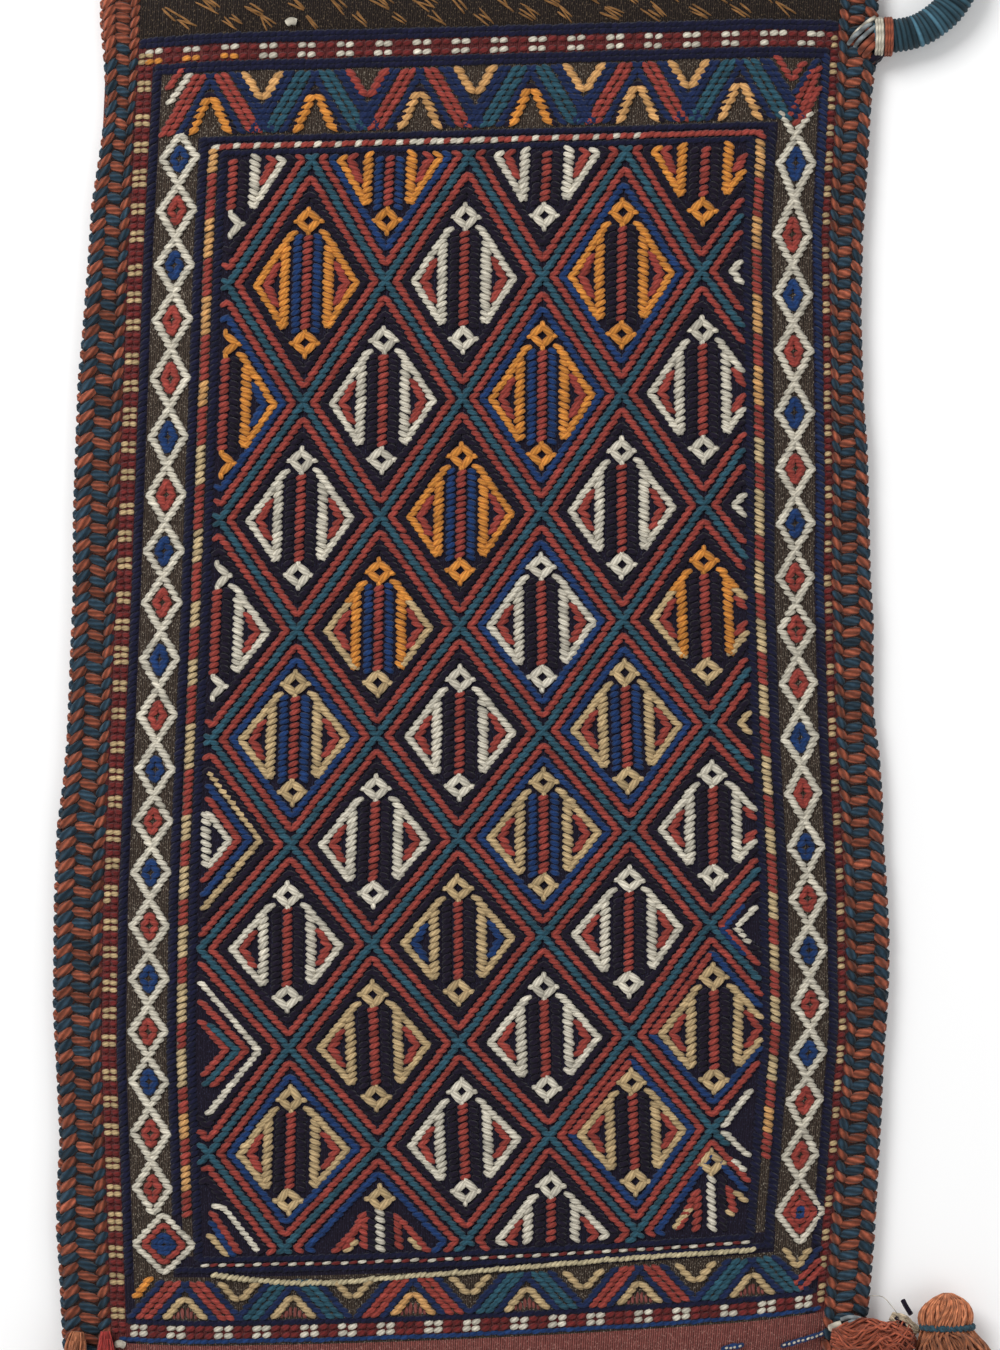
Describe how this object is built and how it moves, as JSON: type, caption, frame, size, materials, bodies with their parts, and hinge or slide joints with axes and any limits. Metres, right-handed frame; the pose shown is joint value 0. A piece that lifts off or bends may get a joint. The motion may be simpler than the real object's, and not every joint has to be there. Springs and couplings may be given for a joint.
{
  "type": "tribal bag",
  "caption": "Flat woven wool bag: one cloth strip folded at the foot and overcast up both sides, open at the mouth, with a patterned front, a wrapped hanging loop and tassels.",
  "frame": {"origin": "middle of the back panel's outer face, where the bag lies on its back", "axes": "+Y along the bag toward its mouth, +Z out of the patterned front, +X to the right as seen from the front with the mouth up"},
  "size_m": [0.3728, 0.6271, 0.0226],
  "materials": {
    "madder_cloth": "plain-weave wool, madder red",
    "dark_brown_wool": "ribbed undyed dark wool",
    "brown_wool": "ribbed undyed brown wool with light specks",
    "navy_wool": "soumak-wrapped wool yarn, indigo navy",
    "blue_wool": "wool yarn, mid indigo",
    "teal_wool": "soumak-wrapped wool yarn, blue-green",
    "red_wool": "soumak-wrapped wool yarn, madder red",
    "ivory_wool": "soumak-wrapped wool yarn, undyed ivory",
    "gold_wool": "soumak-wrapped wool yarn, gold",
    "apricot_wool": "soumak-wrapped wool yarn, apricot",
    "camel_wool": "soumak-wrapped wool yarn, camel",
    "cream_wool": "twined wool yarn, cream",
    "rust_wool": "thick plied overcasting yarn, rust",
    "slate_wool": "thick plied yarn, faded indigo",
    "salmon_wool": "loose unspun wool, salmon",
    "crimson_wool": "loose unspun wool, crimson"
  },
  "bodies": {
    "root": {"bag_cloth": "madder_cloth", "mouth_band": "dark_brown_wool", "panel_ground": "brown_wool", "field_ground": "navy_wool", "foot_line": "blue_wool", "trellis_red": "red_wool", "trellis_teal": "teal_wool", "motif_ivory_1": "ivory_wool", "motif_ivory_2": "ivory_wool", "motif_ivory_3": "ivory_wool", "motif_ivory_4": "ivory_wool", "motif_ivory_5": "ivory_wool", "motif_gold_1": "gold_wool", "motif_gold_2": "gold_wool", "motif_gold_3": "gold_wool", "motif_camel_1": "camel_wool", "motif_camel_2": "camel_wool", "motif_camel_3": "camel_wool", "stripe_outer": "navy_wool", "stripe_mouth": "navy_wool", "stripe_inner": "navy_wool", "stripe_field": "navy_wool", "guard_stripe": "red_wool", "check_stripe": "ivory_wool", "cream_cord": "cream_wool", "diamond_chain_left": "ivory_wool", "diamond_chain_right": "ivory_wool", "lozenges_left": "red_wool", "lozenges_right": "red_wool", "zigzag_top_red": "red_wool", "zigzag_top_teal": "teal_wool", "zigzag_low_red": "red_wool", "zigzag_low_teal": "teal_wool", "chevrons_top": "apricot_wool", "chevrons_low": "camel_wool", "binding_left_rust": "rust_wool", "binding_right_rust": "rust_wool", "binding_left_blue": "slate_wool", "binding_right_blue": "slate_wool", "hanging_loop": "slate_wool", "loop_lashing_1": "ivory_wool", "loop_lashing_2": "rust_wool", "tassel_right": "salmon_wool", "tassel_right_tie": "slate_wool", "tassel_right_tuft": "salmon_wool", "tassel_right_scrap": "cream_wool", "tassel_left": "salmon_wool", "tassel_left_short": "crimson_wool"}
  },
  "joints": []
}
